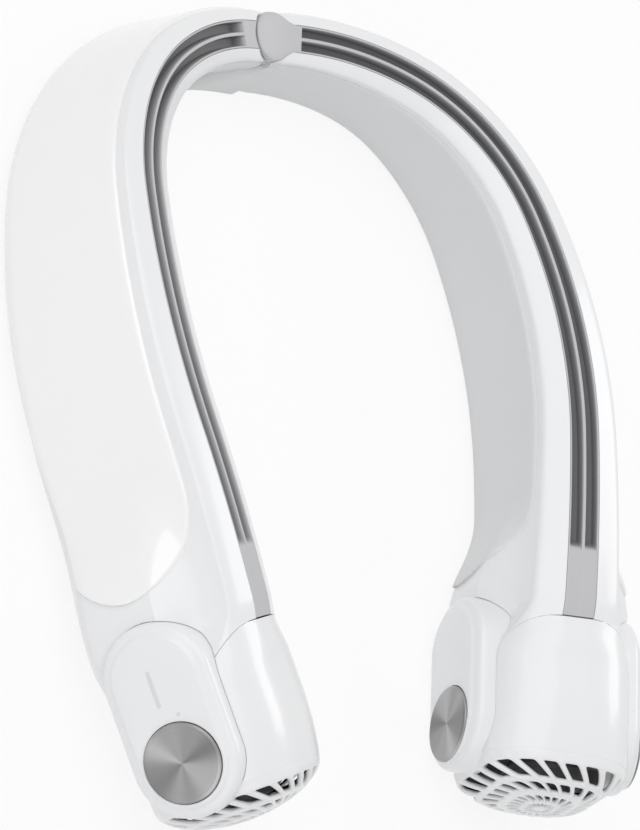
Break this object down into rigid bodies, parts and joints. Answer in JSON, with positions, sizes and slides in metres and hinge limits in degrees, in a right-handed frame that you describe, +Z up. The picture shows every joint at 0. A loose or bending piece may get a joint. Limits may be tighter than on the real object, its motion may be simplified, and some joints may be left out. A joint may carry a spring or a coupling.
{
  "type": "neck fan",
  "caption": "Bladeless neck fan: two hollow slotted arms hinged behind the neck, each ending in a domed turbine pod.",
  "frame": {"origin": "on the surface that the fan lies on, under the centre of its bounding box", "axes": "+Z up with the air slots on top, +Y towards the hinge behind the neck, +X towards the arm with the charging port"},
  "size_m": [0.1984, 0.2371, 0.0505],
  "materials": {
    "white_shell": "smooth satin-gloss moulded plastic",
    "panel_gloss": "mirror-gloss moulded plastic",
    "neck_pad": "soft satin plastic",
    "vent_grey": "fine matte moulded plastic",
    "spun_metal": "spun finish with fine rings",
    "inner_plastic": "plain moulded plastic",
    "dark_plastic": "black moulded plastic",
    "steel": "bright drawn steel",
    "cell_wrap": "thin shrink wrap",
    "hinge_grey": "satin moulded plastic",
    "washer_brass": "plain brass",
    "bezel_grey": "satin-gloss plastic",
    "port_rubber": "soft matte rubber",
    "board": "lacquered board",
    "lens": "milky clear plastic"
  },
  "bodies": {
    "right_arm": {"arm_outer_shell_right": "white_shell", "arm_inner_shell_right": "white_shell", "outer_panel_right": "panel_gloss", "inner_pad_right": "neck_pad", "slot_vent_right": "vent_grey", "pod_cover_right": "white_shell", "end_grille_right": "white_shell", "side_cap_outer_right": "white_shell", "side_cap_inner_right": "white_shell", "disc_outer_right": "spun_metal", "disc_inner_right": "spun_metal", "motor_right": "dark_plastic", "motor_bracket_right": "inner_plastic", "motor_screws_right": "steel", "intake_ring_right": "inner_plastic", "duct_floor_right": "inner_plastic", "battery_right": "cell_wrap", "hinge_barrel": "hinge_grey", "hinge_pin": "steel", "hinge_washers": "washer_brass", "hinge_cap": "hinge_grey", "port_bezel": "bezel_grey", "charge_socket": "steel"},
    "left_arm": {"arm_outer_shell_left": "white_shell", "arm_inner_shell_left": "white_shell", "outer_panel_left": "panel_gloss", "inner_pad_left": "neck_pad", "slot_vent_left": "vent_grey", "pod_cover_left": "white_shell", "end_grille_left": "white_shell", "side_cap_outer_left": "white_shell", "side_cap_inner_left": "white_shell", "disc_inner_left": "spun_metal", "motor_left": "dark_plastic", "motor_bracket_left": "inner_plastic", "motor_screws_left": "steel", "intake_ring_left": "inner_plastic", "duct_floor_left": "inner_plastic", "battery_left": "cell_wrap", "hinge_knuckle": "hinge_grey", "control_board": "board", "switch_body": "dark_plastic", "switch_dome": "steel", "switch_plate": "steel", "indicator_bar": "lens", "indicator_dot": "lens"},
    "turbine_right": {"impeller_right": "inner_plastic", "motor_shaft_right": "steel"},
    "turbine_left": {"impeller_left": "inner_plastic", "motor_shaft_left": "steel"},
    "power_button": {"power_button": "spun_metal", "switch_plunger": "dark_plastic"},
    "port_cover": {"port_cover": "port_rubber"}
  },
  "joints": [
    {"name": "arm_hinge", "type": "hinge", "parent": "right_arm", "child": "left_arm", "pos_m": [0, 0.10728, 0.02237], "axis": [0, 0.153, -0.9882], "range_deg": [0, 20]},
    {"name": "turbine_right_spin", "type": "hinge", "parent": "right_arm", "child": "turbine_right", "pos_m": [0.05921, -0.09855, 0.02277], "axis": [-0.2538, -0.9673, 0], "continuous": true},
    {"name": "turbine_left_spin", "type": "hinge", "parent": "left_arm", "child": "turbine_left", "pos_m": [-0.05921, -0.09855, 0.02277], "axis": [0.2538, -0.9673, 0], "continuous": true},
    {"name": "power_button_press", "type": "slide", "parent": "left_arm", "child": "power_button", "axis": [0.8723, 0.2288, -0.4321], "range_m": [0, 0.0006], "stiffness_N_per_m": 1200, "springref_m": -0.0004},
    {"name": "port_cover_open", "type": "hinge", "parent": "right_arm", "child": "port_cover", "pos_m": [0.05059, 0.10671, 0.01934], "axis": [-0.1206, -0.16, 0.9797], "range_deg": [0, 100]}
  ]
}
